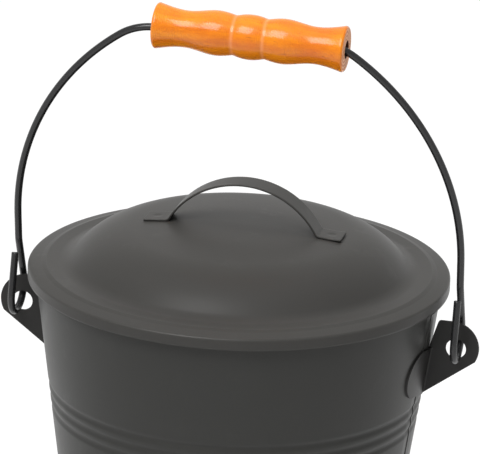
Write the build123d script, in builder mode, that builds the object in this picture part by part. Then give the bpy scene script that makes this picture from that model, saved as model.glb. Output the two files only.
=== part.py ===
import os
from math import acos, asin, atan2, cos, degrees, radians, sin, sqrt, tan

from build123d import *

os.makedirs("parts", exist_ok=True)

# Ash bucket with a lift-off lid, a swinging wire bail and a turned wooden grip.
# Millimetres, +Z up. The origin is the middle of the base, on the floor, and the ears are on X.
# The bail is drawn as it stands in use: it leans a little towards -Y.

# Bucket body
bucket_height = 230.0     # floor to the top of the rolled rim
hole_drop = 33.5          # top of the rim down to the middle of the ear holes
wall_radius = 111.7       # outside of the wall, level with the ear holes
wall_taper = 7.73         # degrees that the wall leans outwards
sheet = 0.8               # steel of the body

# Rolled grooves round the body
groove_count = 3
groove_drop = 34.5        # ear holes down to the first groove
groove_pitch = 6.9
groove_half_width = 2.7
groove_depth = 0.9

# Side seam, folded to the inside, with a fine line outside
seam_angle = -5.2         # degrees from the right ear
seam_width = 8.0
seam_thickness = 1.6
seam_line_width = 0.9
seam_line_depth = 0.45

# Rim wire inside the rolled rim
rim_wire_radius = 0.9
roll_gap = 0.05
roll_turn = 265.0         # degrees that the rim curls round its wire

# Base pan, held in the folded foot of the wall
pan_height = 9.0          # floor to the top of the pan
pan_sheet = 0.8
pan_bend = 3.0
fold_gap = 0.5            # top of the fold inside the foot, below the pan's bend
seat_gap = 0.05

# Lid
lid_sheet = 0.8
lid_play = 0.48           # rolled rim to the inside of the skirt
lid_gap = 0.4             # between the rolled rim and the lid that lies on it
skirt_height = 5.9
skirt_bend = 1.5
band_run = 9.0            # lid's edge to the middle of the step
band_rise = 1.5           # rise of the sloped band, from the edge to the step
step_run = 1.2
step_rise = 1.1
step_bend = 1.2
ledge_run = 7.8           # flat ring between the step and the dome's foot
dome_rise = 24.35         # ledge to the top of the dome
crown_radius = 540.0
shoulder_radius = 50.0
dome_slope = 45.0         # degrees, where the dome is steepest
foot_radius = 11.0

# Strap handle on the lid
strap_width = 15.5
strap_sheet = 1.2
strap_foot = 14.1
strap_rise = 25.4         # feet to the top of the arch
strap_shift = 2.3         # the strap is welded a little off the middle
toe_inset = 2.4           # right toe to the edge of the lid's flat crown
strap_gap = 0.1

# Ears
ear_sheet = 1.2
hole_out = 7.0            # lid's edge to the middle of an ear hole
hole_radius = 5.8
lobe_radius = 15.45
lobe_back = 2.3           # the lobe's middle lies this far inside the hole
lobe_up = 0.5
lobe_corner = -28.4       # degrees, where the lobe meets the straight lower edge
ear_top_drop = 1.2        # hole down to where the ear's top edge leaves the wall
ear_foot_drop = 29.5      # hole down to the ear's lowest point on the wall
throat_out = 0.75         # wall to the first corner of the top edge
throat_up = 2.0
throat_bend = 4.0
shoulder_out = 4.3        # first corner to the second corner of the top edge
shoulder_bend = 2.0
weld_radius = 13.5        # rounded end of the welded flange
weld_reach = 19.0
weld_drop = 11.3
ear_bend = 1.2            # fillet between the flange and the plate

# Bail wire
wire_radius = 2.1
bail_lean = 8.5           # degrees towards -Y
leg_out = 1.6             # middle of an ear hole out to the wire that lies in it
bail_top = 182.6          # ear holes to the wire's highest point, along the bail
side_centre = 55.6        # height at which the legs start to curve
corner_radius = 35.0
corner_inset = 4.5        # the corners start this much closer in than half of the grip
top_radius = 600.0
knee_height = 39.6        # where a leg turns back to its loop
knee_bend = 12.0
loop_back = 12.8          # corners of the loop, before they are rounded
loop_front = -21.4
loop_slope = 4.0          # degrees that the loop's bottom falls towards its free end
back_bend = 12.8
front_bend = 10.1
loop_tip_back = -7.5
loop_tip_height = 34.5
loop_twist = 0.5          # degrees that the free end turns outwards
loop_gap = 0.5            # wire to the edge of the hole that it lies in

# Wooden grip
grip_length = 108.4
grip_shift = 8.0          # the grip has slid towards the right ear
grip_sag = 2.4            # wire's highest point down to the middle of the grip
grip_tilt = -1.84         # degrees, right end down
bore_play = 2.7           # wire to the bore that it runs through
bead_radius = 12.7
bead_half = 8.8
cut_radius = 11.2         # at the two cuts beside the middle bead
swell_radius = 12.7
swell_reach = 18.7
neck_radius = 10.5
neck_reach = 35.0
flare_radius = 13.0
flare_bend = 1.6

# Worked out from the values above

hole_height = bucket_height - hole_drop
taper_sin = sin(radians(wall_taper))
taper_cos = cos(radians(wall_taper))
taper_tan = tan(radians(wall_taper))
roll_radius = rim_wire_radius + roll_gap + sheet
roll_height = bucket_height - roll_radius
hem_slot = pan_sheet + 2 * seat_gap
foot_fold = pan_height - pan_bend - fold_gap


def wall_outside(height):
    return wall_radius + taper_tan * (height - hole_height)


def wall_inside(height):
    return wall_outside(height) - sheet / taper_cos


roll_centre = wall_inside(roll_height) + roll_radius / taper_cos
lid_radius = roll_centre + roll_radius + lid_play + lid_sheet

# The lid's edge is set so that the sloped band just clears the rolled rim.
step_radius = lid_radius - band_run
band_start = step_radius + step_run / 2
band_slope = band_rise / (lid_radius - band_start)
edge_height = bucket_height + lid_gap + lid_sheet - band_slope * (lid_radius - roll_centre)
ledge_height = edge_height + band_rise + step_rise
dome_top = ledge_height + dome_rise

# Crown, shoulder, straight side and foot follow one another without a kink. The crown's angle is
# the one at which they reach from the axis to the ledge and from the ledge up to the dome's top.
dome_reach = step_radius - step_run / 2 - ledge_run
slope_sin = sin(radians(dome_slope))
slope_cos = cos(radians(dome_slope))
dome_lean = dome_reach * slope_sin - dome_rise * slope_cos
dome_lean += (crown_radius + foot_radius) * slope_cos - shoulder_radius - foot_radius
crown_angle = dome_slope - degrees(acos(dome_lean / (crown_radius - shoulder_radius)))
crown_half = crown_radius * sin(radians(crown_angle))
crown_drop = crown_radius * (1 - cos(radians(crown_angle)))
shoulder_drop = shoulder_radius * (cos(radians(crown_angle)) - slope_cos)
foot_drop = foot_radius * (1 - slope_cos)
dome_side = (dome_rise - crown_drop - shoulder_drop - foot_drop) / slope_sin
strap_half = crown_half - toe_inset - strap_foot - strap_shift


def dome_height(radius):
    if radius <= crown_half:
        return dome_top - crown_radius + sqrt(crown_radius**2 - radius**2)
    turn = asin(sin(radians(crown_angle)) + (radius - crown_half) / shoulder_radius)
    return dome_top - crown_drop - shoulder_radius * (cos(radians(crown_angle)) - cos(turn))


# Body wall: one sheet from the fold in the foot to the curl of the rim

groove_heights = [hole_height - groove_drop - i * groove_pitch for i in range(groove_count)]

# The two faces of the sheet are drawn in turn: each starts at the fold, has the grooves and ends
# in the curl. Lines across the sheet close the fold and the edge of the curl.
wall_faces = ((wall_inside, sheet, roll_radius), (wall_outside, 0, roll_radius - sheet))
fold_outer = sheet / taper_cos + hem_slot
curl_ends = []

with BuildPart() as wall_sheet:
    with BuildSketch(Plane.XZ):
        with BuildLine():
            for wall_face, start_height, curl_radius in wall_faces:
                last = (wall_face(start_height), start_height)
                for height in sorted(groove_heights):
                    low = (wall_face(height - groove_half_width), height - groove_half_width)
                    middle = (wall_face(height) - groove_depth, height)
                    high = (wall_face(height + groove_half_width), height + groove_half_width)
                    Line(last, low)
                    ThreePointArc(low, middle, high)
                    last = high
                curl_start = (roll_centre - curl_radius * taper_cos, roll_height + curl_radius * taper_sin)
                Line(last, curl_start)
                curl = JernArc(curl_start, (taper_sin, taper_cos), curl_radius, -roll_turn)
                curl_ends.append(curl @ 1)
            Line(curl_ends[0], curl_ends[1])
            Polyline(
                (wall_inside(sheet), sheet),
                (wall_inside(sheet) - hem_slot, sheet),
                (wall_inside(foot_fold) - hem_slot, foot_fold),
                (wall_inside(foot_fold) - fold_outer, foot_fold),
                (wall_inside(0) - fold_outer, 0),
                (wall_outside(0), 0),
            )
        make_face()
    revolve(axis=Axis.Z)

# The side seam is a thicker strip inside and a fine groove outside. Each is a slim profile, turned
# through its own small share of a full turn.


def turn_for(width):
    return degrees(width / wall_radius)


seam_low = pan_height + pan_bend
seam_high = roll_height - roll_radius
line_low = foot_fold

with BuildPart() as seam_strip:
    with BuildSketch(Plane.XZ.rotated((0, 0, seam_angle))):
        with BuildLine():
            Polyline(
                (wall_inside(seam_low) - seam_thickness, seam_low),
                (wall_inside(seam_low) + sheet / 2, seam_low),
                (wall_inside(seam_high) + sheet / 2, seam_high),
                (wall_inside(seam_high) - seam_thickness, seam_high),
                close=True,
            )
        make_face()
    revolve(axis=Axis.Z, revolution_arc=turn_for(seam_width))

with BuildPart() as seam_line:
    with BuildSketch(Plane.XZ.rotated((0, 0, seam_angle))):
        with BuildLine():
            Polyline(
                (wall_outside(line_low) - seam_line_depth, line_low),
                (wall_outside(line_low) + sheet, line_low),
                (wall_outside(seam_high) + sheet, seam_high),
                (wall_outside(seam_high) - seam_line_depth, seam_high),
                close=True,
            )
        make_face()
    revolve(axis=Axis.Z, revolution_arc=turn_for(seam_line_width))

with BuildPart() as body_wall:
    add(wall_sheet.part)
    add(seam_strip.part)
    add(seam_line.part, mode=Mode.SUBTRACT)
body_wall.part.label = "body_wall"
export_step(body_wall.part, "parts/body_wall.step")

# Rim wire: closed ring inside the curl

with BuildPart() as rim_wire:
    with BuildSketch(Plane.XZ):
        with Locations((roll_centre, roll_height)):
            Circle(rim_wire_radius)
    revolve(axis=Axis.Z)
rim_wire.part.label = "rim_wire"
export_step(rim_wire.part, "parts/rim_wire.step")

# Base pan: flat disc with its edge turned down into the fold of the foot


def pan_edge(height):
    return wall_inside(height) - seat_gap


with BuildPart() as base_pan:
    with BuildSketch(Plane.XZ):
        with BuildLine():
            pan_corner = (pan_edge(pan_height), pan_height)
            pan_foot = (pan_edge(sheet + seat_gap), sheet + seat_gap)
            FilletPolyline((0, pan_height), pan_corner, pan_foot, radius=pan_bend)
            offset(amount=pan_sheet, side=Side.RIGHT)
        make_face()
    revolve(axis=Axis.Z)
base_pan.part.label = "base_pan"
export_step(base_pan.part, "parts/base_pan.step")

# Lid shell: domed pressing with a ledge, a small step, a sloped band and a short skirt

with BuildPart() as lid_shell:
    with BuildSketch(Plane.XZ):
        with BuildLine():
            crown = JernArc((0, dome_top), (1, 0), crown_radius, -crown_angle)
            shoulder = JernArc(crown @ 1, crown % 1, shoulder_radius, crown_angle - dome_slope)
            side_end = shoulder @ 1 + (shoulder % 1) * dome_side
            Line(shoulder @ 1, side_end)
            foot = JernArc(side_end, shoulder % 1, foot_radius, dome_slope)
            FilletPolyline(
                foot @ 1,
                (step_radius - step_run / 2, ledge_height),
                (band_start, ledge_height - step_rise),
                (lid_radius, edge_height),
                (lid_radius, edge_height - skirt_height),
                radius=[step_bend, step_bend, skirt_bend],
            )
            offset(amount=lid_sheet, side=Side.RIGHT)
        make_face()
    revolve(axis=Axis.Z)
lid_shell.part.label = "lid_shell"
export_step(lid_shell.part, "parts/lid_shell.step")

# Lid handle: a bent strap whose two feet lie on the crown


def strap_point(reach, side):
    across = strap_shift + side * reach
    return (across, dome_height(abs(across)) + strap_gap)


with BuildPart() as lid_handle:
    with BuildSketch(Plane.XZ):
        with BuildLine():
            left_toe = strap_point(strap_half + strap_foot, -1)
            left_heel = strap_point(strap_half, -1)
            right_heel = strap_point(strap_half, 1)
            right_toe = strap_point(strap_half + strap_foot, 1)
            arch_top = (strap_shift, (left_heel[1] + right_heel[1]) / 2 + strap_rise)
            Line(left_toe, left_heel)
            ThreePointArc(left_heel, arch_top, right_heel)
            Line(right_heel, right_toe)
            offset(amount=strap_sheet, side=Side.LEFT)
        make_face()
    extrude(amount=strap_width / 2, both=True)
lid_handle.part.label = "lid_handle"
export_step(lid_handle.part, "parts/lid_handle.step")

# Ears: a plate that stands out from the wall, bent from a flange that is welded to it

hole_reach = lid_radius + hole_out
lobe_x = hole_reach - lobe_back
lobe_z = hole_height + lobe_up
corner_x = lobe_x + lobe_radius * cos(radians(lobe_corner))
corner_z = lobe_z + lobe_radius * sin(radians(lobe_corner))
top_z = hole_height - ear_top_drop
throat_reach = wall_outside(top_z) + throat_out
shoulder_reach = throat_reach + shoulder_out
foot_z = hole_height - ear_foot_drop
weld_z = hole_height - weld_drop

with BuildPart() as weld_flange:
    with BuildSketch(Plane.XZ):
        with BuildLine():
            Polyline(
                (wall_outside(foot_z), foot_z),
                (wall_outside(top_z + weld_radius), top_z + weld_radius),
                (wall_outside(top_z + weld_radius) + ear_sheet, top_z + weld_radius),
                (wall_outside(foot_z) + ear_sheet, foot_z),
                close=True,
            )
        make_face()
    revolve(axis=Axis.Z)
    with BuildSketch(Plane.YZ):
        with BuildLine():
            Polyline(
                (ear_sheet / 2, top_z),
                (-weld_reach, weld_z + weld_radius),
                (-weld_reach, weld_z - weld_radius),
                (ear_sheet / 2, foot_z),
                close=True,
            )
        make_face()
        with Locations((-weld_reach, weld_z)):
            Circle(weld_radius)
    extrude(amount=lid_radius, mode=Mode.INTERSECT)

with BuildPart() as ear_right:
    with BuildSketch(Plane.XZ):
        with BuildLine():
            throat = FilletPolyline(
                (wall_outside(top_z), top_z),
                (throat_reach, hole_height + throat_up),
                (shoulder_reach, lobe_z + lobe_radius),
                (lobe_x, lobe_z + lobe_radius),
                radius=[throat_bend, shoulder_bend],
            )
            CenterArc((lobe_x, lobe_z), lobe_radius, 90, lobe_corner - 90)
            Polyline((corner_x, corner_z), (wall_outside(foot_z), foot_z), (wall_outside(top_z), top_z))
        make_face()
        with Locations((hole_reach, hole_height)):
            Circle(hole_radius, mode=Mode.SUBTRACT)
    extrude(amount=ear_sheet / 2, both=True)
    add(weld_flange.part)
    plate_front = ear_right.faces().filter_by(Axis.Y).sort_by(Axis.Y)[0]
    fillet(plate_front.edges().sort_by(Axis.X)[0], radius=ear_bend)
ear_right.part.label = "ear_right"
export_step(ear_right.part, "parts/ear_right.step")

with BuildPart() as ear_left:
    add(ear_right.part, rotation=(0, 0, 180))
ear_left.part.label = "ear_left"
export_step(ear_left.part, "parts/ear_left.step")

# Bail: one wire, bent in its leaning plane, with a loop through each ear

lean_sin = sin(radians(bail_lean))
lean_cos = cos(radians(bail_lean))
up_bail = Vector(0, -lean_sin, lean_cos)
across_bail = Vector(0, lean_cos, lean_sin)
hole_level = Vector(0, 0, hole_height)
bail_plane = Plane(origin=hole_level, x_dir=(1, 0, 0), z_dir=Vector(1, 0, 0).cross(up_bail))

# The top arc ends over the grip, where a corner arc takes over. The side arc starts upright at the
# leg and touches the corner arc, which gives its radius.
grip_half = grip_length / 2
bail_half = hole_reach + leg_out
top_turn = degrees(asin((grip_half - corner_inset) / top_radius))
to_corner = top_radius - corner_radius
corner_across = to_corner * sin(radians(top_turn))
corner_up = bail_top - top_radius + to_corner * cos(radians(top_turn))
leg_across = bail_half - corner_across
leg_down = side_centre - corner_up
side_radius = (leg_across**2 + leg_down**2 - corner_radius**2) / (2 * (leg_across - corner_radius))
side_turn = degrees(atan2(side_radius - leg_across, -leg_down))

hole_play = hole_radius - wire_radius - loop_gap
loop_sill = -sqrt(hole_play**2 - (bail_half - hole_reach) ** 2)


def loop_corner(back):
    height = loop_sill + back * tan(radians(loop_slope))
    return (back * lean_cos + height * lean_sin, -back * lean_sin + height * lean_cos)


loop_points = [
    (0, side_centre),
    (0, knee_height),
    loop_corner(loop_back),
    loop_corner(loop_front),
    (loop_tip_back, loop_tip_height),
]
loop_bends = [knee_bend, back_bend, front_bend]


def loop_plane(side):
    twist = radians(loop_twist)
    backwards = across_bail * cos(twist) - Vector(side, 0, 0) * sin(twist)
    return Plane(
        origin=hole_level + Vector(side * bail_half, 0, 0),
        x_dir=backwards,
        z_dir=backwards.cross(up_bail),
    )


with BuildLine(bail_plane) as arch:
    first = JernArc((-bail_half, side_centre), (0, 1), side_radius, side_turn - 90)
    second = JernArc(first @ 1, first % 1, corner_radius, top_turn - side_turn)
    third = JernArc(second @ 1, second % 1, top_radius, -2 * top_turn)
    fourth = JernArc(third @ 1, third % 1, corner_radius, top_turn - side_turn)
    JernArc(fourth @ 1, fourth % 1, side_radius, side_turn - 90)

with BuildLine(loop_plane(-1)) as left_loop:
    FilletPolyline(*loop_points, radius=loop_bends)

with BuildLine(loop_plane(1)) as right_loop:
    FilletPolyline(*loop_points, radius=loop_bends)

bail_path = Wire(left_loop.edges() + arch.edges() + right_loop.edges())
print("bail wire length", round(bail_path.length, 1))

with BuildPart() as bail:
    with BuildSketch(Plane(origin=bail_path @ 0, z_dir=bail_path % 0)):
        Circle(wire_radius)
    sweep(path=bail_path)
bail.part.label = "bail"
export_step(bail.part, "parts/bail.step")

# Grip: turned wood with a middle bead, two swells, two necks and flared ends

tilt = radians(grip_tilt)
grip_along = Vector(1, 0, 0) * cos(tilt) + up_bail * sin(tilt)
grip_out = Vector(1, 0, 0) * -sin(tilt) + up_bail * cos(tilt)
bore_radius = wire_radius + bore_play
grip_middle = hole_level + Vector(grip_shift, 0, 0) + up_bail * (bail_top - grip_sag)
grip_plane = Plane(origin=grip_middle, x_dir=grip_along, z_dir=grip_along.cross(grip_out))

with BuildPart() as grip:
    with BuildSketch(grip_plane):
        with BuildLine():
            ThreePointArc((-bead_half, cut_radius), (0, bead_radius), (bead_half, cut_radius))
            for side in (-1, 1):
                Spline(
                    (side * bead_half, cut_radius),
                    (side * swell_reach, swell_radius),
                    (side * neck_reach, neck_radius),
                    (side * (grip_half - flare_bend), flare_radius),
                )
                Polyline(
                    (side * (grip_half - flare_bend), flare_radius),
                    (side * grip_half, flare_radius - flare_bend),
                    (side * grip_half, bore_radius),
                )
            Line((-grip_half, bore_radius), (grip_half, bore_radius))
        make_face()
    revolve(axis=Axis(grip_middle, grip_along))
grip.part.label = "grip"
export_step(grip.part, "parts/grip.step")
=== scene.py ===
import bmesh
import bpy
import numpy as np
from mathutils import Matrix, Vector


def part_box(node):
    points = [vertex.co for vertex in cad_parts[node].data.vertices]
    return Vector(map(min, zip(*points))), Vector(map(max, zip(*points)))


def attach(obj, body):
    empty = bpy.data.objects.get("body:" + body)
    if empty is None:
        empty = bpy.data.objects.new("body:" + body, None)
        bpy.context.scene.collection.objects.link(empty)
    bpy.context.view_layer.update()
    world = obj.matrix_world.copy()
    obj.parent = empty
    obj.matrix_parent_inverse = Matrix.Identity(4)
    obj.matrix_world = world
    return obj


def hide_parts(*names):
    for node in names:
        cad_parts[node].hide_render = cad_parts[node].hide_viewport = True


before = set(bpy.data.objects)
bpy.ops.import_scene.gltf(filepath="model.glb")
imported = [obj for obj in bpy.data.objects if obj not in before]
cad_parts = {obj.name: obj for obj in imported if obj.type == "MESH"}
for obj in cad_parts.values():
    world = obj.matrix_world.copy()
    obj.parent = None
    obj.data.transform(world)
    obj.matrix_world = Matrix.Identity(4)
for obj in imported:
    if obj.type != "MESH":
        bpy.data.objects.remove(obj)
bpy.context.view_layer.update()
print("frame loaded:", sorted(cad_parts))

mm = 0.001  # sizes below are in millimetres, meshes in metres
turn = 2 * np.pi


def nodeBox(node):
    low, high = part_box(node)
    return np.array(low) / mm, np.array(high) / mm


# What the CAD model gives: heights and reaches that the dressed pieces start from
rimTop = nodeBox("body_wall")[1][2]
lidRadius, _, lidTop = nodeBox("lid_shell")[1]

holeDrop = 33.5  # the ear holes lie this far under the rim
holeOut = 7.0  # and this far out, past the lid
holeHeight = rimTop - holeDrop
holeReach = lidRadius + holeOut


# Curves and meshes


def sinDeg(angle):
    return np.sin(np.radians(angle))


def cosDeg(angle):
    return np.cos(np.radians(angle))


def smooth(x, low, high):
    # 0 below low, 1 above high, and an S-curve between
    t = np.clip((x - low) / (high - low), 0, 1)
    return t * t * (3 - 2 * t)


def bump(x, half):
    # cosine hill: 1 at 0, down to 0 at +-half
    return np.where(np.abs(x) < half, 0.5 + 0.5 * np.cos(np.pi * x / half), 0.0)


def walk(start, heading, steps, span=1.5, bendStep=5.0):
    # A plane path walked from start: each step is (length, turn in degrees), straight where the turn
    # is 0, else an arc of that radius. Points are span apart, or bendStep degrees apart on arcs.
    at, out = np.array(start, float), [np.array([start], float)]
    for size, bend in steps:
        if bend == 0:
            n = max(int(size / span), 1)
            t = np.arange(1, n + 1)[:, None] / n
            leg = at + t * size * np.array([cosDeg(heading), sinDeg(heading)])
        else:
            n = max(int(abs(bend) / bendStep), int(size * np.radians(abs(bend)) / span), 3)
            angle = heading + bend * np.arange(1, n + 1) / n
            side = np.sign(bend)
            centre = at + side * size * np.array([-sinDeg(heading), cosDeg(heading)])
            leg = centre + side * size * np.stack([sinDeg(angle), -cosDeg(angle)], 1)
            heading += bend
        out.append(leg)
        at = leg[-1]
    return np.vstack(out)


def rounded(points, radii, span=1.5, bendStep=6.0):
    # A polyline whose inner corners are arcs of the given radii, walked from corner to corner
    p = np.array(points, float)
    legs = np.diff(p, axis=0)
    lengths = np.hypot(legs[:, 0], legs[:, 1])
    headings = np.degrees(np.arctan2(legs[:, 1], legs[:, 0]))
    bends = (np.diff(headings) + 180) % 360 - 180
    cut = np.array(radii) * np.tan(np.radians(np.abs(bends) / 2))
    straight = lengths - np.append(0, cut) - np.append(cut, 0)
    steps = [(straight[0], 0)]
    for radius, bend, length in zip(radii, bends, straight[1:]):
        steps += [(radius, bend), (length, 0)]
    return walk(p[0], headings[0], steps, span, bendStep)


def normalsOf(path):
    # unit vectors to the right of a plane path, from the slope between its neighbours
    slope = np.gradient(path, axis=0)
    slope /= np.linalg.norm(slope, axis=1, keepdims=True)
    return np.stack([slope[:, 1], -slope[:, 0]], 1)


def sheetLoop(path, right, left):
    # A sheet round a plane path: its right side walked backwards, then its left side forwards
    n = normalsOf(path)
    return np.vstack([(path + right * n)[::-1], path - left * n])


def creaseOf(loop, closed):
    # How sharply a profile bends at each point: turn over length, 0 on flats and 1 where the radius
    # is about a millimetre
    ahead = np.roll(loop, -1, 0) - loop
    back = loop - np.roll(loop, 1, 0)
    bend = np.arctan2(back[:, 0] * ahead[:, 1] - back[:, 1] * ahead[:, 0], (back * ahead).sum(1))
    size = np.linalg.norm(ahead, axis=1) + np.linalg.norm(back, axis=1) + 1e-6
    sharp = np.clip(np.abs(bend) * 2 / size, 0, 1)
    if not closed:
        sharp[[0, -1]] = 0
    return sharp


def gridMesh(name, points, closedU=True, values=None):
    # A sheet of quads over points[u, v], closed along v, and along u unless it ends in two poles. Its
    # sides are swapped if it would face inwards, and the points of a seam or pole are merged.
    nu, nv = points.shape[:2]
    u, v = np.meshgrid(np.arange(nu if closedU else nu - 1), np.arange(nv), indexing="ij")
    corner = lambda a, b: (a % nu) * nv + b % nv
    faces = [corner(u, v), corner(u + 1, v), corner(u + 1, v + 1), corner(u, v + 1)]
    faces = np.stack(faces, -1).reshape(-1, 4)
    flat = points.reshape(-1, 3) * mm
    a, b, c, d = (flat[faces[:, k]] for k in range(4))
    volume = (a * np.cross(b, c) + a * np.cross(c, d)).sum()
    if volume < 0:
        faces = faces[:, ::-1]
    mesh = bpy.data.meshes.new(name)
    mesh.from_pydata(flat.tolist(), [], faces.tolist())
    for key, value in (values or {}).items():
        layer = mesh.attributes.new(key, "FLOAT", "POINT")
        layer.data.foreach_set("value", np.broadcast_to(value, (nu, nv)).astype(np.float32).ravel())
    shell = bmesh.new()
    shell.from_mesh(mesh)
    bmesh.ops.remove_doubles(shell, verts=shell.verts, dist=1e-7)
    shell.to_mesh(mesh)
    shell.free()
    mesh.polygons.foreach_set("use_smooth", np.ones(len(mesh.polygons), bool))
    mesh.update()
    piece = bpy.data.objects.new(name, mesh)
    bpy.context.scene.collection.objects.link(piece)
    return piece


def lathe(profile, angles, lift=0.0):
    # Turns a profile of (radius, height) round Z: x = r cos a, y = r sin a. lift adds to the radius.
    r = profile[:, :1] + lift
    a = np.radians(angles)[None, :]
    return np.stack([r * np.cos(a), r * np.sin(a), profile[:, 1:] + 0 * a], -1)


# Body wall

body = {
    "radius": 111.7,  # outside, level with the ear holes
    "taper": 7.73,  # degrees
    "sheet": 0.8,
    "grooves": (34.5, 41.4, 48.3),  # under the ear holes
    "grooveHalf": 3.1,
    "grooveDepth": 0.95,
    "wireRadius": 0.9,
    "rollGap": 0.05,
    "rollTurn": 265.0,  # degrees that the rim curls round its wire
    "hemSlot": 0.9,  # in the folded foot, where the pan's edge sits
    "hemTop": 5.5,
    "hemBend": 0.5,
    "seamAngle": -5.2,
    "seamWidth": 8.0,
    "seamThickness": 1.6,
    "seamLow": 12.0,
    "seamTop": 4.0,  # under the start of the curl
    "seamDip": 0.6,  # the outside slopes in to the seam line over a flat beside it
    "farDip": 0.3,  # and this much on the far side of the line
    "flatWidth": 9.0,
    "lineHalf": 0.45,
    "lineDepth": 0.7,
    "proud": 0.12,  # the sheet past the line stands out
    "crush": 0.28,  # the grooving rolls push the seam line to and fro
    "crushPitch": 0.55,
    "sway": (0.10, 0.07),  # slow waves of the wall: three and five round it
    "turns": 250,
    "seamAngles": ((-4.6, -1.2, 8), (-1.1, 1.1, 39), (1.3, 5.4, 24)),  # more points: from, to, count
    "step": 4.5,  # between points up the wall
    "grooveStep": 0.6,  # and through the grooves
}


def wallRadius(z):
    return body["radius"] + np.tan(np.radians(body["taper"])) * (z - holeHeight)


def makeBodyWall():
    # One sheet's profile (foot fold, wall, curl), turned round Z at r(z) + lift(angle, z): the lift is
    # the grooves' hills, the dip and line of the seam, its strip inside, and slow sines
    half = body["sheet"] / 2
    lean = cosDeg(body["taper"])
    middle = lambda z: wallRadius(z) - half / lean
    rollRadius = body["wireRadius"] + body["rollGap"] + half
    rollHeight = rimTop - rollRadius - half
    inner = middle(half) - body["hemSlot"] - body["sheet"]
    climb = np.tan(np.radians(body["taper"]))
    hem = (inner + climb * (body["hemTop"] - half), body["hemTop"])
    last = (middle(rollHeight), rollHeight)
    fold = [hem, (inner, half), (middle(half), half), last]
    foot = rounded(fold, [body["hemBend"]] * 2, span=body["step"])
    rise = foot[foot[:, 1] < rollHeight - 1e-6]
    curl = walk(last, 90 - body["taper"], [(rollRadius, -body["rollTurn"])], bendStep=9)
    path = np.vstack([rise, curl])
    # more points through the groove band, where the radius changes fastest
    low, high = holeHeight - max(body["grooves"]) - 5, holeHeight - min(body["grooves"]) + 5
    z = np.arange(low, high, body["grooveStep"])
    below = path[(path[:, 1] < low) & (np.arange(len(path)) < len(rise))]
    above = path[(path[:, 1] > high) | (np.arange(len(path)) >= len(rise))]
    path = np.vstack([below, np.stack([middle(z), z], 1), above])
    loop = sheetLoop(path, half, half)
    onWall = (loop[:, 1] > 2) & (loop[:, 1] < rollHeight)
    outside = onWall & (loop[:, 0] > middle(loop[:, 1]))
    inside = onWall & (loop[:, 0] <= middle(loop[:, 1])) & (loop[:, 0] > middle(loop[:, 1]) - 1)
    groove = sum(bump(loop[:, 1] - (holeHeight - drop), body["grooveHalf"]) for drop in body["grooves"])
    groove = np.where(outside | inside, groove, 0)[:, None]
    even = np.linspace(0, 360, body["turns"], endpoint=False)
    near = np.concatenate([np.linspace(*part) for part in body["seamAngles"]]) + body["seamAngle"]
    angles = np.sort(np.concatenate([even, near % 360]))
    across = np.radians((angles - body["seamAngle"] + 180) % 360 - 180)[None, :] * body["radius"]
    z = loop[:, 1:]
    crumple = body["crush"] * groove * np.sin(z / body["crushPitch"])
    line = bump(across + crumple, body["lineHalf"])
    width, bottom, top = body["seamWidth"], body["seamLow"], rollHeight - body["seamTop"]
    proud = smooth(across, -0.2, 0.5) * (1 - smooth(across, 3, width + 3))
    strip = smooth(across, -0.3, 0.3) * (1 - smooth(across, width - 0.3, width + 0.3))
    strip = strip * smooth(z, bottom, bottom + 1) * (1 - smooth(z, top, top + 1))
    past = smooth(across, 0, 0.6)
    dip = body["seamDip"] * np.clip(1 + across / body["flatWidth"], 0, 1) * (1 - past)
    dip = dip + body["farDip"] * bump(across - 0.3, body["flatWidth"]) * past
    outer, inner = outside[:, None] * 1.0, inside[:, None] * 1.0
    lift = -body["grooveDepth"] * groove * (1 - 0.35 * bump(across, 5))  # shallower at the seam
    lift = lift - outer * (body["lineDepth"] * line + dip - body["proud"] * proud)
    lift = lift - inner * np.maximum(body["seamThickness"] * strip, dip)
    a = np.radians(angles)[None, :]
    sway = body["sway"][0] * np.sin(3 * a + 0.7) + body["sway"][1] * np.sin(5 * a + 2.1 + z / 60)
    lift = lift + sway * smooth(z, 10, 60) * (1 - smooth(z, rollHeight - 30, rollHeight - 5))
    rub = np.maximum(creaseOf(loop, True)[:, None] * np.ones_like(a), 0.5 * line * outer)
    return gridMesh("bucketWall", lathe(loop, angles, lift), values={"rub": rub})


# Lid

lid = {
    "sheet": 0.8,
    "crown": 540.0,  # radii of the dome, from its middle outwards
    "shoulder": 50.0,
    "foot": 11.0,
    "slope": 45.0,  # degrees, where the dome is steepest
    "rise": 24.35,  # ledge to the top of the dome
    "ledgeRun": 8.4,  # foot of the dome to the middle of the step
    "bandRun": 9.0,
    "bandRise": 1.5,
    "stepRun": 2.8,
    "stepRise": 0.95,
    "skirt": 6.4,
    "bends": (2.0, 1.6, 1.5),
    "hemHalf": 0.3,  # half of the flat on the skirt's edge
    "waves": (0.10, 0.05),  # the pressing isn't perfectly even: two and seven waves round it
    "turns": 320,
}


def crownAngle():
    # the angle at which crown, shoulder, side and foot, all touching, reach from axis to ledge
    slope, bends = lid["slope"], lid["crown"] + lid["foot"]
    reach = lidRadius - lid["bandRun"] - lid["ledgeRun"]
    lean = reach * sinDeg(slope) - lid["rise"] * cosDeg(slope) + bends * cosDeg(slope)
    lean -= lid["shoulder"] + lid["foot"]
    return slope - np.degrees(np.arccos(lean / (lid["crown"] - lid["shoulder"])))


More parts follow.
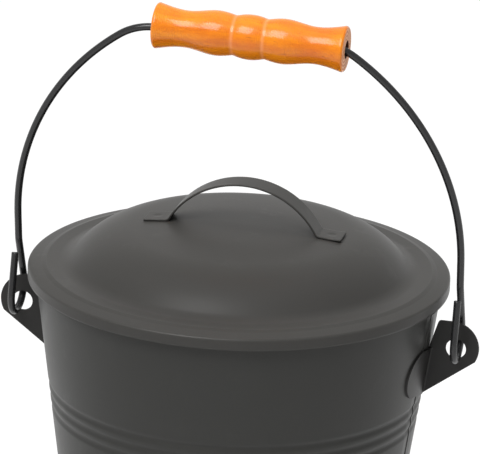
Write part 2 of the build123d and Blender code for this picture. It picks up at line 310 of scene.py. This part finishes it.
def lidPath():
    # upper side of the lid, from the middle outwards and down the skirt
    ledge, slope, crown = lidTop - lid["rise"], lid["slope"], crownAngle()
    drop = lid["crown"] * (1 - cosDeg(crown)) + lid["shoulder"] * (cosDeg(crown) - cosDeg(slope))
    drop += lid["foot"] * (1 - cosDeg(slope))
    dome = walk((0, lidTop), 0, [
        (lid["crown"], -crown),
        (lid["shoulder"], crown - slope),
        ((lid["rise"] - drop) / sinDeg(slope), 0),
        (lid["foot"], slope),
    ], span=2.0, bendStep=2.5)
    step, run = lidRadius - lid["bandRun"], lid["stepRun"] / 2
    edge = ledge - lid["stepRise"] - lid["bandRise"]
    rim = rounded([
        dome[-1],
        (step - run, ledge),
        (step + run, ledge - lid["stepRise"]),
        (lidRadius, edge),
        (lidRadius, edge - lid["skirt"]),
    ], lid["bends"], span=0.9)
    return np.vstack([dome, rim[1:]])


def makeLid():
    # the upper path, the skirt's edge and the path one sheet under it, turned round Z with a little
    # sine of the angle added to the height
    path = lidPath()
    n = normalsOf(path)
    n[0] = (0, -1)
    under = path + lid["sheet"] * n
    under[0, 0] = 0
    hem = 0.5 * (path[-1] + under[-1]) + lid["hemHalf"] * np.array([(1, 0), (0, 0), (-1, 0)])
    loop = np.vstack([path, hem, under[::-1]])
    angles = np.linspace(0, 360, lid["turns"], endpoint=False)
    a, r = np.radians(angles)[None, :], loop[:, :1]
    points = lathe(loop, angles)
    points[:, :, 2] += lid["waves"][0] * np.sin(2 * a + 0.4) * smooth(r, 60, 112)
    points[:, :, 2] += lid["waves"][1] * np.sin(7 * a + 1.3) * smooth(r, 95, 119)
    rub = np.broadcast_to(creaseOf(loop, False)[:, None], points.shape[:2])
    return gridMesh("domedLid", points, closedU=False, values={"rub": rub})


# Lid strap handle

strap = {
    "width": 15.5,
    "sheet": 1.2,
    "toeInset": 2.4,  # right toe to the edge of the dome's crown
    "foot": 14.1,
    "rise": 25.4,  # feet to the top of the arch
    "shift": 2.3,  # off the middle of the lid
    "gap": 0.1,
    "toeLift": 0.45,  # the right toe doesn't quite lie down
    "edge": 0.35,  # radius along the sides
    "weldAt": 7.5,  # from the heel out along the foot
    "weldRadius": 2.4,
    "weldDepth": 0.28,
}


def crownHeight(x):
    # top of the dome's round crown, x off its axis
    return lidTop - lid["crown"] + np.sqrt(lid["crown"] ** 2 - x**2)


def strapPath():
    # middle of the sheet: a foot, an arc over the two heels and the other foot
    foot, shift, rise = strap["foot"], strap["shift"], strap["rise"]
    half = lid["crown"] * sinDeg(crownAngle()) - strap["toeInset"] - foot - shift
    x = shift + np.array([-half - foot, -half, half, half + foot])
    z = crownHeight(x) + strap["gap"] + strap["sheet"] / 2
    heel = (z[1] + z[2]) / 2
    radius = (half**2 + rise**2) / (2 * rise)
    span = np.degrees(np.arcsin(half / radius))
    angle = np.linspace(-span, span, 72)
    arch = np.stack([shift + radius * sinDeg(angle), heel + rise - radius * (1 - cosDeg(angle))], 1)
    arch[:, 1] += np.interp(arch[:, 0], x[1:3], z[1:3] - heel)
    path = np.vstack([[(x[0], z[0])], arch, [(x[3], z[3])]])
    # even points along it, then the two heels are softened by a short running mean
    gap = np.append(0, np.cumsum(np.linalg.norm(np.diff(path, axis=0), axis=1)))
    s = np.linspace(0, gap[-1], 260)
    even = np.stack([np.interp(s, gap, path[:, 0]), np.interp(s, gap, path[:, 1])], 1)
    kernel = np.array([1, 2, 3, 3, 3, 2, 1]) / 15
    soft = even.copy()
    soft[3:-3] = np.stack([np.convolve(even[:, k], kernel, "valid") for k in range(2)], 1)
    soft[:, 1] += strap["toeLift"] * smooth(soft[:, 0], x[3] - 7, x[3] + 1)
    return soft, gap[1], gap[-1]


def makeStrap():
    # one rounded cross-section carried along the path, pinched shut at both toes
    path, footLength, total = strapPath()
    w, t, edge = strap["width"] / 2, strap["sheet"] / 2, strap["edge"]
    # cross-section: across the strap and out of its face, corners rounded, walked once round
    top = np.linspace(-w + edge, w - edge, 30)
    q = np.radians(np.linspace(90, -90, 7))[1:-1]
    across = np.concatenate([top, w - edge + edge * np.cos(q), top[::-1], -w + edge - edge * np.cos(q)])
    out = np.concatenate([0 * top + t, t * np.sin(q), 0 * top - t, -t * np.sin(q)])
    n = -normalsOf(path)
    s = np.linspace(0, total, len(path))
    ends = np.concatenate([[0.0, 0.90, 0.97], np.ones(len(path)), [0.97, 0.90, 0.0]])
    rows = np.concatenate([[0, 0, 0], np.arange(len(path)), [-1, -1, -1]])
    path, n, s = path[rows], n[rows], s[rows]
    fromHeel = np.minimum(s, total - s) - (footLength - strap["weldAt"])
    # spot weld: a shallow round dent in the upper face of each foot
    dent = np.exp(-((fromHeel[:, None] ** 2 + across[None, :] ** 2) / strap["weldRadius"] ** 2) ** 2)
    o = out[None, :] * ends[:, None]
    o = o - strap["weldDepth"] * dent * (out > 0.9 * t)[None, :] * (ends == 1)[:, None]
    points = np.stack([
        path[:, :1] + n[:, :1] * o,
        across[None, :] * ends[:, None],
        path[:, 1:] + n[:, 1:] * o,
    ], -1)
    rub = np.clip(np.abs(across) - (w - 2 * edge), 0, edge) / edge
    return gridMesh("lidStrap", points, closedU=False, values={"rub": rub[None, :]})


# Bail wire

wire = {
    "radius": 2.1,
    "lean": 8.5,  # degrees, forwards
    "legOut": 1.6,  # past the middle of an ear hole
    "top": 182.6,  # over the ear holes, along the leaning bail
    "sideCentre": 55.6,  # height at which the legs start to curve
    "cornerRadius": 35.0,
    "cornerInset": 4.5,  # the corners start this much closer in than half of the grip
    "topRadius": 600.0,
    "kneeHeight": 39.6,  # the leg bends back here, into its loop
    "bends": (12.0, 12.8, 10.1),
    "loopBack": 12.8,
    "loopFront": -21.4,
    "loopSlope": 4.0,  # degrees
    "tip": (-7.5, 34.5),  # free end: back and up
    "twist": 0.5,
    "holeRadius": 5.8,
    "gap": 0.5,  # wire to the edge of the hole
    "chamfer": 0.35,
    "bentFrom": 0.035,  # radians a millimetre, from which the coat is dulled
    "bentGain": 14.0,
    "around": 20,
}

legReach = holeReach + wire["legOut"]
leanSin, leanCos = sinDeg(wire["lean"]), cosDeg(wire["lean"])
upBail = np.array([0, -leanSin, leanCos])
backBail = np.array([0, leanCos, leanSin])
holeLevel = np.array([0, 0, holeHeight])
sideways = np.array([1.0, 0, 0])


def archCurve():
    # Five arcs that touch, from leg to leg: side, corner, nearly flat top, corner, side. The side's
    # radius follows from where the corner's centre lies, seen from the end of the straight leg.
    corner, topRadius = wire["cornerRadius"], wire["topRadius"]
    topTurn = np.degrees(np.arcsin((grip["length"] / 2 - wire["cornerInset"]) / topRadius))
    across = legReach - (topRadius - corner) * sinDeg(topTurn)
    up = wire["top"] - topRadius + (topRadius - corner) * cosDeg(topTurn) - wire["sideCentre"]
    side = (across**2 + up**2 - corner**2) / (2 * (across - corner))
    sideTurn = np.degrees(np.arctan2(side - across, up))
    return walk((-legReach, wire["sideCentre"]), 90, [
        (side, sideTurn - 90),
        (corner, topTurn - sideTurn),
        (topRadius, -2 * topTurn),
        (corner, topTurn - sideTurn),
        (side, sideTurn - 90),
    ], span=1.6, bendStep=2.5)


def loopCurve():
    # one loop in the plane of its leg: (back, up) from the leg down and round to the free end
    play = wire["holeRadius"] - wire["radius"] - wire["gap"]
    back = np.array([wire["loopBack"], wire["loopFront"]])
    up = back * np.tan(np.radians(wire["loopSlope"])) - np.sqrt(play**2 - wire["legOut"] ** 2)
    level = np.stack([back * leanCos + up * leanSin, up * leanCos - back * leanSin], 1)
    leg = [(0, wire["sideCentre"]), (0, wire["kneeHeight"])]
    return rounded([*leg, *level, wire["tip"]], wire["bends"], span=1.0, bendStep=5.0)


def loopInSpace(side):
    # the loop curve on the left (-1) or right (1) leg, in space
    twist = np.radians(wire["twist"])
    back = backBail * np.cos(twist) - sideways * side * np.sin(twist)
    curve = loopCurve()
    leg = holeLevel + sideways * side * legReach
    return leg + curve[:, :1] * back + curve[:, 1:] * upBail


def makeBail():
    # a circle carried along loop, arch and loop
    arch = archCurve()
    arch = holeLevel + arch[:, :1] * sideways + arch[:, 1:] * upBail
    left, right = loopInSpace(-1)[::-1], loopInSpace(1)
    path = np.vstack([left[:-1], arch, right[1:]])
    # ends: the cut wire has a small chamfer, so the first and last ring repeat at smaller radii
    r, cut = wire["radius"], wire["chamfer"]
    slope = np.gradient(path, axis=0)
    slope /= np.linalg.norm(slope, axis=1, keepdims=True)
    head, tail = path[0], path[-1]
    first, final = [head, head, head + cut * slope[0]], [tail - cut * slope[-1], tail, tail]
    path = np.vstack([first, path[1:-1], final])
    size = np.concatenate([[0, r - cut, r], np.full(len(path) - 6, r), [r, r - cut, 0]])
    slope = np.vstack([slope[:1], slope[:1], slope, slope[-1:], slope[-1:]])
    # each ring is squared to the path: one side vector turns from sideways at the loops to the
    # normal of the bail's plane on the arch
    share = smooth((path - holeLevel) @ upBail, wire["kneeHeight"] + 2, wire["sideCentre"])[:, None]
    across = (1 - share) * sideways + share * backBail
    across = across - (across * slope).sum(1, keepdims=True) * slope
    across /= np.linalg.norm(across, axis=1, keepdims=True)
    other = np.cross(slope, across)
    a = np.linspace(0, turn, wire["around"], endpoint=False)[None, :, None]
    ring = np.cos(a) * across[:, None, :] + np.sin(a) * other[:, None, :]
    points = path[:, None, :] + size[:, None, None] * ring
    length = np.append(0, np.cumsum(np.linalg.norm(np.diff(path, axis=0), axis=1)))
    kink = np.linalg.norm(np.gradient(slope, axis=0), axis=1) / np.maximum(np.gradient(length), 1e-3)
    kink = np.clip((kink - wire["bentFrom"]) * wire["bentGain"], 0, 1)
    kink = np.convolve(kink, np.ones(9) / 9, "same")
    return gridMesh("bailWire", points, closedU=False, values={"bent": kink[:, None]})


# Wooden grip

grip = {
    "length": 108.4,
    "shift": 8.0,
    "sag": 2.4,  # hangs this much under the wire's highest point
    "tilt": -1.84,  # degrees
    "bore": 4.8,  # radii, and how far from the middle they lie
    "bead": 12.7,
    "beadHalf": 8.8,
    "cut": 11.2,
    "cutFill": 0.16,  # rounds the bottom of the two cuts beside the bead
    "swell": 12.7,
    "swellReach": 18.7,
    "neck": 10.5,
    "neckReach": 35.0,
    "flare": 13.0,
    "round": 1.6,
    "uneven": (0.06, 0.04),  # turned by hand, so not quite round
    "turns": 112,
}

gripAlong = sideways * cosDeg(grip["tilt"]) + upBail * sinDeg(grip["tilt"])
gripOut = -sideways * sinDeg(grip["tilt"]) + upBail * cosDeg(grip["tilt"])
gripFront = np.cross(gripAlong, gripOut)
gripMiddle = holeLevel + sideways * grip["shift"] + upBail * (wire["top"] - grip["sag"])


def cubicThrough(x, knots, values):
    # natural cubic curve through the knots: second slopes from a small linear system
    h = np.diff(knots)
    n = len(knots)
    m = np.eye(n)
    rhs = np.zeros(n)
    for i in range(1, n - 1):
        m[i, i - 1 : i + 2] = h[i - 1], 2 * (h[i - 1] + h[i]), h[i]
        rhs[i] = 6 * ((values[i + 1] - values[i]) / h[i] - (values[i] - values[i - 1]) / h[i - 1])
    bend = np.linalg.solve(m, rhs)
    k = np.clip(np.searchsorted(knots, x) - 1, 0, n - 2)
    a, b, t = knots[k], knots[k + 1], h[k]
    left, right = (b - x) / t, (x - a) / t
    curve = left * values[k] + right * values[k + 1]
    return curve + ((left**3 - left) * bend[k] + (right**3 - right) * bend[k + 1]) * t**2 / 6


def makeGrip():
    # A profile of (place along the grip, radius), turned round its axis: an arc for the bead, a cubic
    # through swell, neck and flare, a rounded edge, the end face and the bore, then mirrored
    half, edge, bore = grip["length"] / 2, grip["round"], grip["bore"]
    rise = grip["bead"] - grip["cut"]
    beadArc = (grip["beadHalf"] ** 2 + rise**2) / (2 * rise)
    beadX = np.linspace(0, grip["beadHalf"], 18)
    beadR = grip["bead"] - beadArc + np.sqrt(beadArc**2 - beadX**2)
    knots = np.array([grip["beadHalf"], grip["swellReach"], grip["neckReach"], half - edge])
    sizes = np.array([grip["cut"], grip["swell"], grip["neck"], grip["flare"]])
    sideX = np.linspace(grip["beadHalf"], half - edge, 62)[1:]
    sideR = cubicThrough(sideX, knots, sizes)
    corner = np.radians(np.linspace(0, 90, 8))[1:]
    x = np.concatenate([beadX, sideX, half - edge + edge * np.sin(corner)])
    r = np.concatenate([beadR, sideR, grip["flare"] - edge + edge * np.cos(corner)])
    r += grip["cutFill"] * bump(x - grip["beadHalf"], 0.8)
    face = np.linspace(grip["flare"] - edge, bore + 0.5, 9)[1:]
    inside = np.linspace(half - 0.6, 0, 12)[1:]
    x = np.concatenate([x, 0 * face + half, [half - 0.15, half - 0.6], inside])
    r = np.concatenate([r, face, [bore + 0.12, bore], 0 * inside + bore])
    loopX = np.concatenate([x, -x[::-1][1:-1]])
    loopR = np.concatenate([r, r[::-1][1:-1]])
    a = np.linspace(0, turn, grip["turns"], endpoint=False)[None, :]
    onSkin = smooth(loopR, 7.5, 9.5)[:, None]
    oval, threeSided = grip["uneven"]
    uneven = oval * np.sin(2 * a + 1.1) + threeSided * np.sin(3 * a + loopX[:, None] / 17)
    radius = loopR[:, None] + onSkin * (uneven - oval - threeSided)
    ring = np.cos(a)[..., None] * gripOut + np.sin(a)[..., None] * gripFront
    points = gripMiddle + loopX[:, None, None] * gripAlong + radius[..., None] * ring
    endFace = smooth(np.abs(loopX), half - 0.5, half - 0.05)
    endFace = endFace * (1 - smooth(loopR, grip["flare"] - 1.2, grip["flare"] - 0.3))
    inBore = (loopR < bore + 0.3).astype(float)
    # the cuts beside the bead, made pale in the wood finish as a painted reflection
    cutReflection = bump(np.abs(loopX) - grip["beadHalf"], 1.6) * (loopR > 9)
    return gridMesh("turnedGrip", points, values={
        "endGrain": np.maximum(endFace, inBore)[:, None],
        # the bore, darkened in the wood finish as painted shade
        "bore": inBore[:, None],
        "cut": cutReflection[:, None],
    })


pieces = {
    "bucketWall": makeBodyWall(),
    "domedLid": makeLid(),
    "lidStrap": makeStrap(),
    "bailWire": makeBail(),
    "turnedGrip": makeGrip(),
}
stands = {
    "bucketWall": ("body_wall", "bucket", "dark_coat"),
    "domedLid": ("lid_shell", "lid", "lid_coat"),
    "lidStrap": ("lid_handle", "lid", "lid_coat"),
    "bailWire": ("bail", "bail", "wire_coat"),
    "turnedGrip": ("grip", "grip", "grip_wood"),
}
for name, (node, rider, slot) in stands.items():
    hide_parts(node)
    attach(pieces[name], rider)
print("pieces made:", {name: len(piece.data.polygons) for name, piece in pieces.items()})


# Materials


class Value:
    # one output of a node; arithmetic on it adds Math nodes
    def __init__(self, finish, socket):
        self.finish = finish
        self.socket = socket

    def math(self, operation, a, b):
        return self.finish.node("ShaderNodeMath", {"operation": operation}, {0: a, 1: b})

    def __add__(self, other):
        return self.math("ADD", self, other)

    def __radd__(self, other):
        return self.math("ADD", other, self)

    def __sub__(self, other):
        return self.math("SUBTRACT", self, other)

    def __rsub__(self, other):
        return self.math("SUBTRACT", other, self)

    def __mul__(self, other):
        return self.math("MULTIPLY", self, other)

    def __rmul__(self, other):
        return self.math("MULTIPLY", other, self)

    def larger(self, other):
        return self.math("MAXIMUM", self, other)


class Finish:
    # the nodes of a material or of the world: node() adds one, the other methods are common uses of it
    def __init__(self, owner):
        owner.use_nodes = True
        self.owner = owner
        self.tree = owner.node_tree
        self.tree.nodes.clear()

    def node(self, kind, settings=None, sockets=None, out=0):
        made = self.tree.nodes.new(kind)
        for key, value in (settings or {}).items():
            if key == "stops":
                ramp = made.color_ramp
                for element, stop in zip(ramp.elements, (value[0], value[-1])):
                    element.position, element.color = stop
                for place, colour in value[1:-1]:
                    ramp.elements.new(place).color = colour
            else:
                setattr(made, key, value)
        for key, value in (sockets or {}).items():
            if isinstance(value, Value):
                self.tree.links.new(value.socket, made.inputs[key])
            else:
                made.inputs[key].default_value = value
        return Value(self, made.outputs[out]) if made.outputs else None

    def place(self):
        return self.node("ShaderNodeTexCoord", out="Object")

    def moved(self, vector, location=(0, 0, 0), rotation=(0, 0, 0), scale=(1, 1, 1), kind="POINT"):
        sockets = {"Vector": vector, "Location": location, "Rotation": rotation, "Scale": scale}
        return self.node("ShaderNodeMapping", {"vector_type": kind}, sockets)

    def noise(self, vector, scale, detail=3.0, roughness=0.5):
        sockets = {"Vector": vector, "Scale": scale, "Detail": detail, "Roughness": roughness}
        return self.node("ShaderNodeTexNoise", {}, sockets, "Fac")

    def attribute(self, name):
        return self.node("ShaderNodeAttribute", {"attribute_name": name}, {}, "Fac")

    def ramp(self, value, stops):
        return self.node("ShaderNodeValToRGB", {"stops": stops}, {"Fac": value})

    def mask(self, value, low, high):
        sockets = {"Value": value, "From Min": low, "From Max": high}
        return self.node("ShaderNodeMapRange", {"interpolation_type": "SMOOTHSTEP"}, sockets)

    def mix(self, share, a, b):
        return self.node("ShaderNodeMix", {"data_type": "RGBA"}, {0: share, 6: a, 7: b}, 2)

    def toned(self, colour, tone):
        return self.node("ShaderNodeVectorMath", {"operation": "SCALE"}, {0: colour[:3], "Scale": tone})

    def bumped(self, height, depth, normal=None):
        sockets = {"Height": height, "Distance": depth}
        if normal is not None:
            sockets["Normal"] = normal
        return self.node("ShaderNodeBump", {}, sockets)

    def seenBy(self, kinds):
        # 1 for rays of any of these kinds
        rays = [self.node("ShaderNodeLightPath", out=f"Is {kind} Ray") for kind in kinds]
        seen = rays[0]
        for ray in rays[1:]:
            seen = seen.larger(ray)
        return seen

    def close(self, shader, kind="ShaderNodeOutputMaterial"):
        self.node(kind, {}, {"Surface": shader})
        return self.owner

    def principled(self, **sockets):
        named = {key.replace("_", " "): value for key, value in sockets.items()}
        return self.close(self.node("ShaderNodeBsdfPrincipled", {}, named))


def newFinish(name):
    return Finish(bpy.data.materials.new(name))


def linear(r, g, b):
    # an sRGB colour of 0-255 as the linear colour that the shader takes
    c = np.array([r, g, b]) / 255
    c = np.where(c < 0.04045, c / 12.92, ((c + 0.055) / 1.055) ** 2.4)
    return (*c.tolist(), 1.0)


coat = {
    "wall": linear(50, 50, 48),
    # the lid's and strap's colour: the same coat as the wall, made lighter as painted light
    "lid": linear(56, 55, 53),
    # the ears' colour: the same coat as the wall, made darker as painted shade
    "ears": linear(39, 38, 37),
    "roughness": 0.33,
    "specular": 0.23,
    "peel": 0.00002,  # metres of bump
    "grain": 0.00001,
}


def powderCoat(name, colour):
    # Baked-on satin coat: fine grain, faint orange peel, slow changes of tone, and a slightly
    # thinner, lighter coat on tight bends
    f = newFinish(name)
    where, rub = f.place(), f.attribute("rub")
    cloud = f.noise(where, 14.0, 4.0, 0.55)
    speck = f.noise(where, 900.0, 2.0, 0.6)
    handled = f.mask(f.noise(where, 55.0, 5.0, 0.65), 0.56, 0.72)
    tone = 0.84 + 0.18 * cloud + 0.12 * speck + 0.20 * rub + 0.04 * handled
    rough = coat["roughness"] + 0.10 * cloud + 0.05 * speck - 0.06 * rub - 0.05 * handled
    peel = f.bumped(f.noise(where, 420.0, 2.0, 0.5), coat["peel"])
    grain = f.bumped(f.noise(where, 2600.0, 2.0, 0.7), coat["grain"], peel)
    return f.principled(
        Base_Color=f.toned(colour, tone),
        Roughness=rough,
        Normal=grain,
        Specular_IOR_Level=coat["specular"],
    )


def wireCoat(name, colour):
    # Glossy black coat on drawn wire: fine grain, small pits, dulled and lighter where it was bent
    f = newFinish(name)
    where, bent = f.place(), f.attribute("bent")
    cloud = f.noise(where, 60.0, 3.0, 0.6)
    pits = f.mask(f.noise(where, 520.0, 2.0, 0.5), 0.62, 0.74)
    tone = 0.8 + 0.35 * cloud + 0.35 * bent + 0.25 * pits
    rough = 0.14 + 0.10 * cloud + 0.14 * bent + 0.10 * pits
    grain = f.bumped(f.noise(where, 1500.0, 2.0, 0.6), 0.00002)
    dents = f.bumped(pits, -0.00003, grain)
    return f.principled(
        Base_Color=f.toned(colour, tone),
        Roughness=rough,
        Normal=dents,
        Specular_IOR_Level=0.5,
    )


wood = {
    "skin": [
        (0.25, linear(206, 98, 0)),
        (0.48, linear(228, 128, 0)),
        (0.62, linear(238, 142, 0)),
        (0.80, linear(220, 116, 0)),
    ],
    "fibre": linear(190, 84, 4),
    "blush": linear(214, 100, 24),
    "pore": linear(150, 62, 14),
    "knot": linear(96, 44, 18),
    # painted reflection: the pale colour of the cuts beside the bead
    "cut": linear(236, 150, 92),
    "bare": linear(240, 186, 144),
    "ring": linear(196, 112, 70),
    # painted shade: the dark colour inside the bore
    "bore": linear(84, 44, 26),
}


def gripWood(name):
    # Light hardwood under orange varnish: long grain, dark pores along it, turning marks round it,
    # paler bare wood with rings on the end faces, a pale band of painted reflection in the cuts beside
    # the bead, and painted shade darkening the bore
    f = newFinish(name)
    axes = Matrix((gripAlong, gripFront, gripOut)).transposed()
    where = f.moved(f.place(), tuple(gripMiddle * mm), tuple(axes.to_euler()), (1, 1, 1), "TEXTURE")
    endGrain, cut, bore = (f.attribute(key) for key in ("endGrain", "cut", "bore"))
    figure = f.noise(f.moved(where, scale=(9, 70, 70)), 2.2, 5.0, 0.6)
    fibre = f.noise(f.moved(where, scale=(60, 900, 900)), 1.0, 3.0, 0.6)
    pores = f.mask(f.noise(f.moved(where, scale=(110, 1100, 1100)), 1.0, 2.0, 0.5), 0.66, 0.78)
    knots = f.mask(f.noise(f.moved(where, scale=(34, 160, 160)), 1.0, 3.0, 0.55), 0.70, 0.80)
    blush = f.mask(f.noise(where, 38.0, 3.0, 0.5), 0.45, 0.75)
    skin = f.ramp(figure, wood["skin"])
    skin = f.mix(0.30 * fibre, skin, wood["fibre"])
    skin = f.mix(0.35 * blush, skin, wood["blush"])
    skin = f.mix(0.55 * pores, skin, wood["pore"])
    skin = f.mix(0.65 * knots, skin, wood["knot"])
    # painted reflection: the cuts beside the bead made pale
    skin = f.mix(0.60 * cut, skin, wood["cut"])
    pith = f.moved(where, location=(0, 0.004, -0.003))
    rings = f.node("ShaderNodeTexWave", {"wave_type": "RINGS", "rings_direction": "X"}, {
        "Vector": pith, "Scale": 150.0, "Distortion": 2.5, "Detail": 3.0,
    }, "Fac")
    # painted shade: the bore is darkened inside the bare end grain
    bare = f.mix(bore, f.mix(0.8 * rings, wood["bare"], wood["ring"]), wood["bore"])
    marks = f.node("ShaderNodeTexWave", {"bands_direction": "X"}, {
        "Vector": where, "Scale": 310.0, "Distortion": 1.2, "Detail": 2.0, "Detail Scale": 1.5,
    }, "Fac")
    scratches = f.noise(f.moved(where, scale=(1500, 60, 60)), 1.0, 2.0, 0.6)
    turned = f.bumped(scratches, 0.00014, f.bumped(marks, 0.00007))
    uneven = f.bumped(f.noise(where, 260.0, 3.0, 0.6), 0.00007, turned)
    return f.principled(
        Base_Color=f.mix(endGrain, skin, bare),
        Roughness=0.26 + 0.16 * fibre + 0.40 * endGrain,
        Normal=f.bumped(pores, -0.00008, uneven),
        Coat_Weight=1 - 0.85 * endGrain,
        Coat_Roughness=0.17,
        Coat_IOR=1.42,
        Specular_IOR_Level=0.1,
    )


darkCoat = powderCoat("darkCoat", coat["wall"])
# the lid coat is a lighter copy of the wall's coat: painted light
litLidCoat = powderCoat("litLidCoat", coat["lid"])
# the ear coat is a darker copy of the wall's coat: painted shade
earCoat = powderCoat("earCoat", coat["ears"])
for piece, material in {
    "bucketWall": darkCoat,
    "domedLid": litLidCoat,
    "lidStrap": litLidCoat,
    "bailWire": wireCoat("blackWire", linear(30, 30, 31)),
    "turnedGrip": gripWood("orangeWood"),
}.items():
    pieces[piece].data.materials.append(material)

# the solids that stay as they are: points merged, and the edges of the ears a little rounded
for node, material in {
    "ear_left": earCoat,
    "ear_right": earCoat,
    "rim_wire": darkCoat,
    "base_pan": darkCoat,
}.items():
    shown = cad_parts[node]
    shown.data.materials.clear()
    shown.data.materials.append(material)
    weld = shown.modifiers.new("weld", "WELD")
    weld.merge_threshold = 1e-6
    if node.startswith("ear"):
        soften = shown.modifiers.new("soften", "BEVEL")
        soften.width = 0.22 * mm
        soften.segments = 2
        soften.limit_method = "ANGLE"
        soften.angle_limit = np.radians(35)
        soften.harden_normals = True
    shown.data.polygons.foreach_set("use_smooth", np.ones(len(shown.data.polygons), bool))
    shade = shown.modifiers.new("shade", "WEIGHTED_NORMAL")
    shade.keep_sharp = True
print("materials made")


# Floor, light and camera

studio = {
    "aim": (0, 0, 200),
    "lamps": {  # degrees round from the front, degrees up, distance, width, height, watts
        "key": (-20, 50, 1300, 700, 700, 10.8),
        "top": (0, 88, 1900, 3200, 3200, 68.0),
        "left": (-110, 20, 1800, 1600, 1300, 1.5),
        "right": (115, 20, 1800, 1600, 1300, 1.0),
        "rear": (180, 35, 2000, 2000, 1300, 3.0),
    },
    "shown": ("key",),  # the only lamp that shows in the gloss
    "sky": 0.05,  # light from the room
    "overhead": 0.75,  # how bright the room looks in the gloss, above the white sweep
    "sweepTop": (0.1, 0.35),  # sines of the heights between which it turns to that
    "floorColour": 0.92,
    "floorGlow": 1.07,  # as the camera and gloss see it
    "floorShare": 0.85,  # the rest of what they see is lit, and keeps the shadow
    "floorReach": 6.0,  # metres
}


def whiteFloor():
    f = newFinish("whiteFloor")
    plain = f.node("ShaderNodeBsdfDiffuse", {}, {"Color": (*[studio["floorColour"]] * 3, 1.0)})
    glow = f.node("ShaderNodeEmission", {}, {"Strength": studio["floorGlow"]})
    share = studio["floorShare"] * f.seenBy(("Camera", "Glossy"))
    return f.close(f.node("ShaderNodeMixShader", {}, {0: share, 1: plain, 2: glow}))


def makeFloor():
    reach = studio["floorReach"]
    mesh = bpy.data.meshes.new("floor")
    corners = [(-reach, -reach, 0), (reach, -reach, 0), (reach, reach, 0), (-reach, reach, 0)]
    mesh.from_pydata(corners, [], [(0, 1, 2, 3)])
    floor = bpy.data.objects.new("floor", mesh)
    bpy.context.scene.collection.objects.link(floor)
    floor.data.materials.append(whiteFloor())


def makeWorld():
    # white for the camera; in gloss white round the horizon and dimmer overhead, as in a room with a
    # white sweep; a plain faint light for the rest
    world = Finish(bpy.data.worlds.new("studio"))
    direction = world.node("ShaderNodeTexCoord", out="Generated")
    height = world.node("ShaderNodeSeparateXYZ", {}, {0: direction}, "Z")
    mirrored = world.seenBy(("Glossy", "Transmission"))
    dim = (1 - studio["overhead"]) * mirrored * world.mask(height, *studio["sweepTop"])
    plain = world.node("ShaderNodeBackground", {}, {"Strength": studio["sky"]})
    white = world.node("ShaderNodeBackground", {}, {"Strength": 1 - dim})
    seen = world.seenBy(("Camera",)).larger(mirrored)
    both = world.node("ShaderNodeMixShader", {}, {0: seen, 1: plain, 2: white})
    bpy.context.scene.world = world.close(both, "ShaderNodeOutputWorld")


def directionOf(azimuth, elevation):
    # unit vector towards a place round the object: azimuth 0 is the front
    return np.array([
        sinDeg(azimuth) * cosDeg(elevation), -cosDeg(azimuth) * cosDeg(elevation), sinDeg(elevation),
    ])


def facing(at, back, roll=0.0):
    # a lamp or camera at this place, turned to look against the vector back
    right = np.cross((0, 0, 1.0), back)
    right /= np.linalg.norm(right)
    up = np.cross(back, right)
    place = np.eye(4)
    place[:3, 0] = cosDeg(roll) * right + sinDeg(roll) * up
    place[:3, 1] = cosDeg(roll) * up - sinDeg(roll) * right
    place[:3, 2] = back
    place[:3, 3] = np.array(at, float) * mm
    return Matrix(place.tolist())


def makeLamp(name, azimuth, elevation, distance, width, height, watts):
    made = bpy.data.lights.new(name, "AREA")
    made.shape = "RECTANGLE"
    made.size, made.size_y = width * mm, height * mm
    made.energy = watts
    lamp = bpy.data.objects.new(name, made)
    bpy.context.scene.collection.objects.link(lamp)
    back = directionOf(azimuth, elevation)
    lamp.matrix_world = facing(np.array(studio["aim"]) + distance * back, back)
    lamp.visible_camera = False
    lamp.visible_glossy = name in studio["shown"]


makeFloor()
makeWorld()
for name, values in studio["lamps"].items():
    makeLamp(name, *values)
bpy.context.scene.view_settings.view_transform = "Standard"

eye = {
    "azimuth": 12.79,
    "elevation": 18.58,
    "roll": 2.004,
    "at": (516.6, -2277.2, 1039.8),
    "lens": 326.36,
    "sensor": 36.0,
}


def makeCamera():
    made = bpy.data.cameras.new("camera")
    made.lens = eye["lens"]
    made.sensor_width = eye["sensor"]
    made.sensor_fit = "HORIZONTAL"
    camera = bpy.data.objects.new("camera", made)
    bpy.context.scene.collection.objects.link(camera)
    camera.matrix_world = facing(eye["at"], directionOf(eye["azimuth"], eye["elevation"]), eye["roll"])
    bpy.context.scene.camera = camera


makeCamera()
print("floor, lamps and camera made")
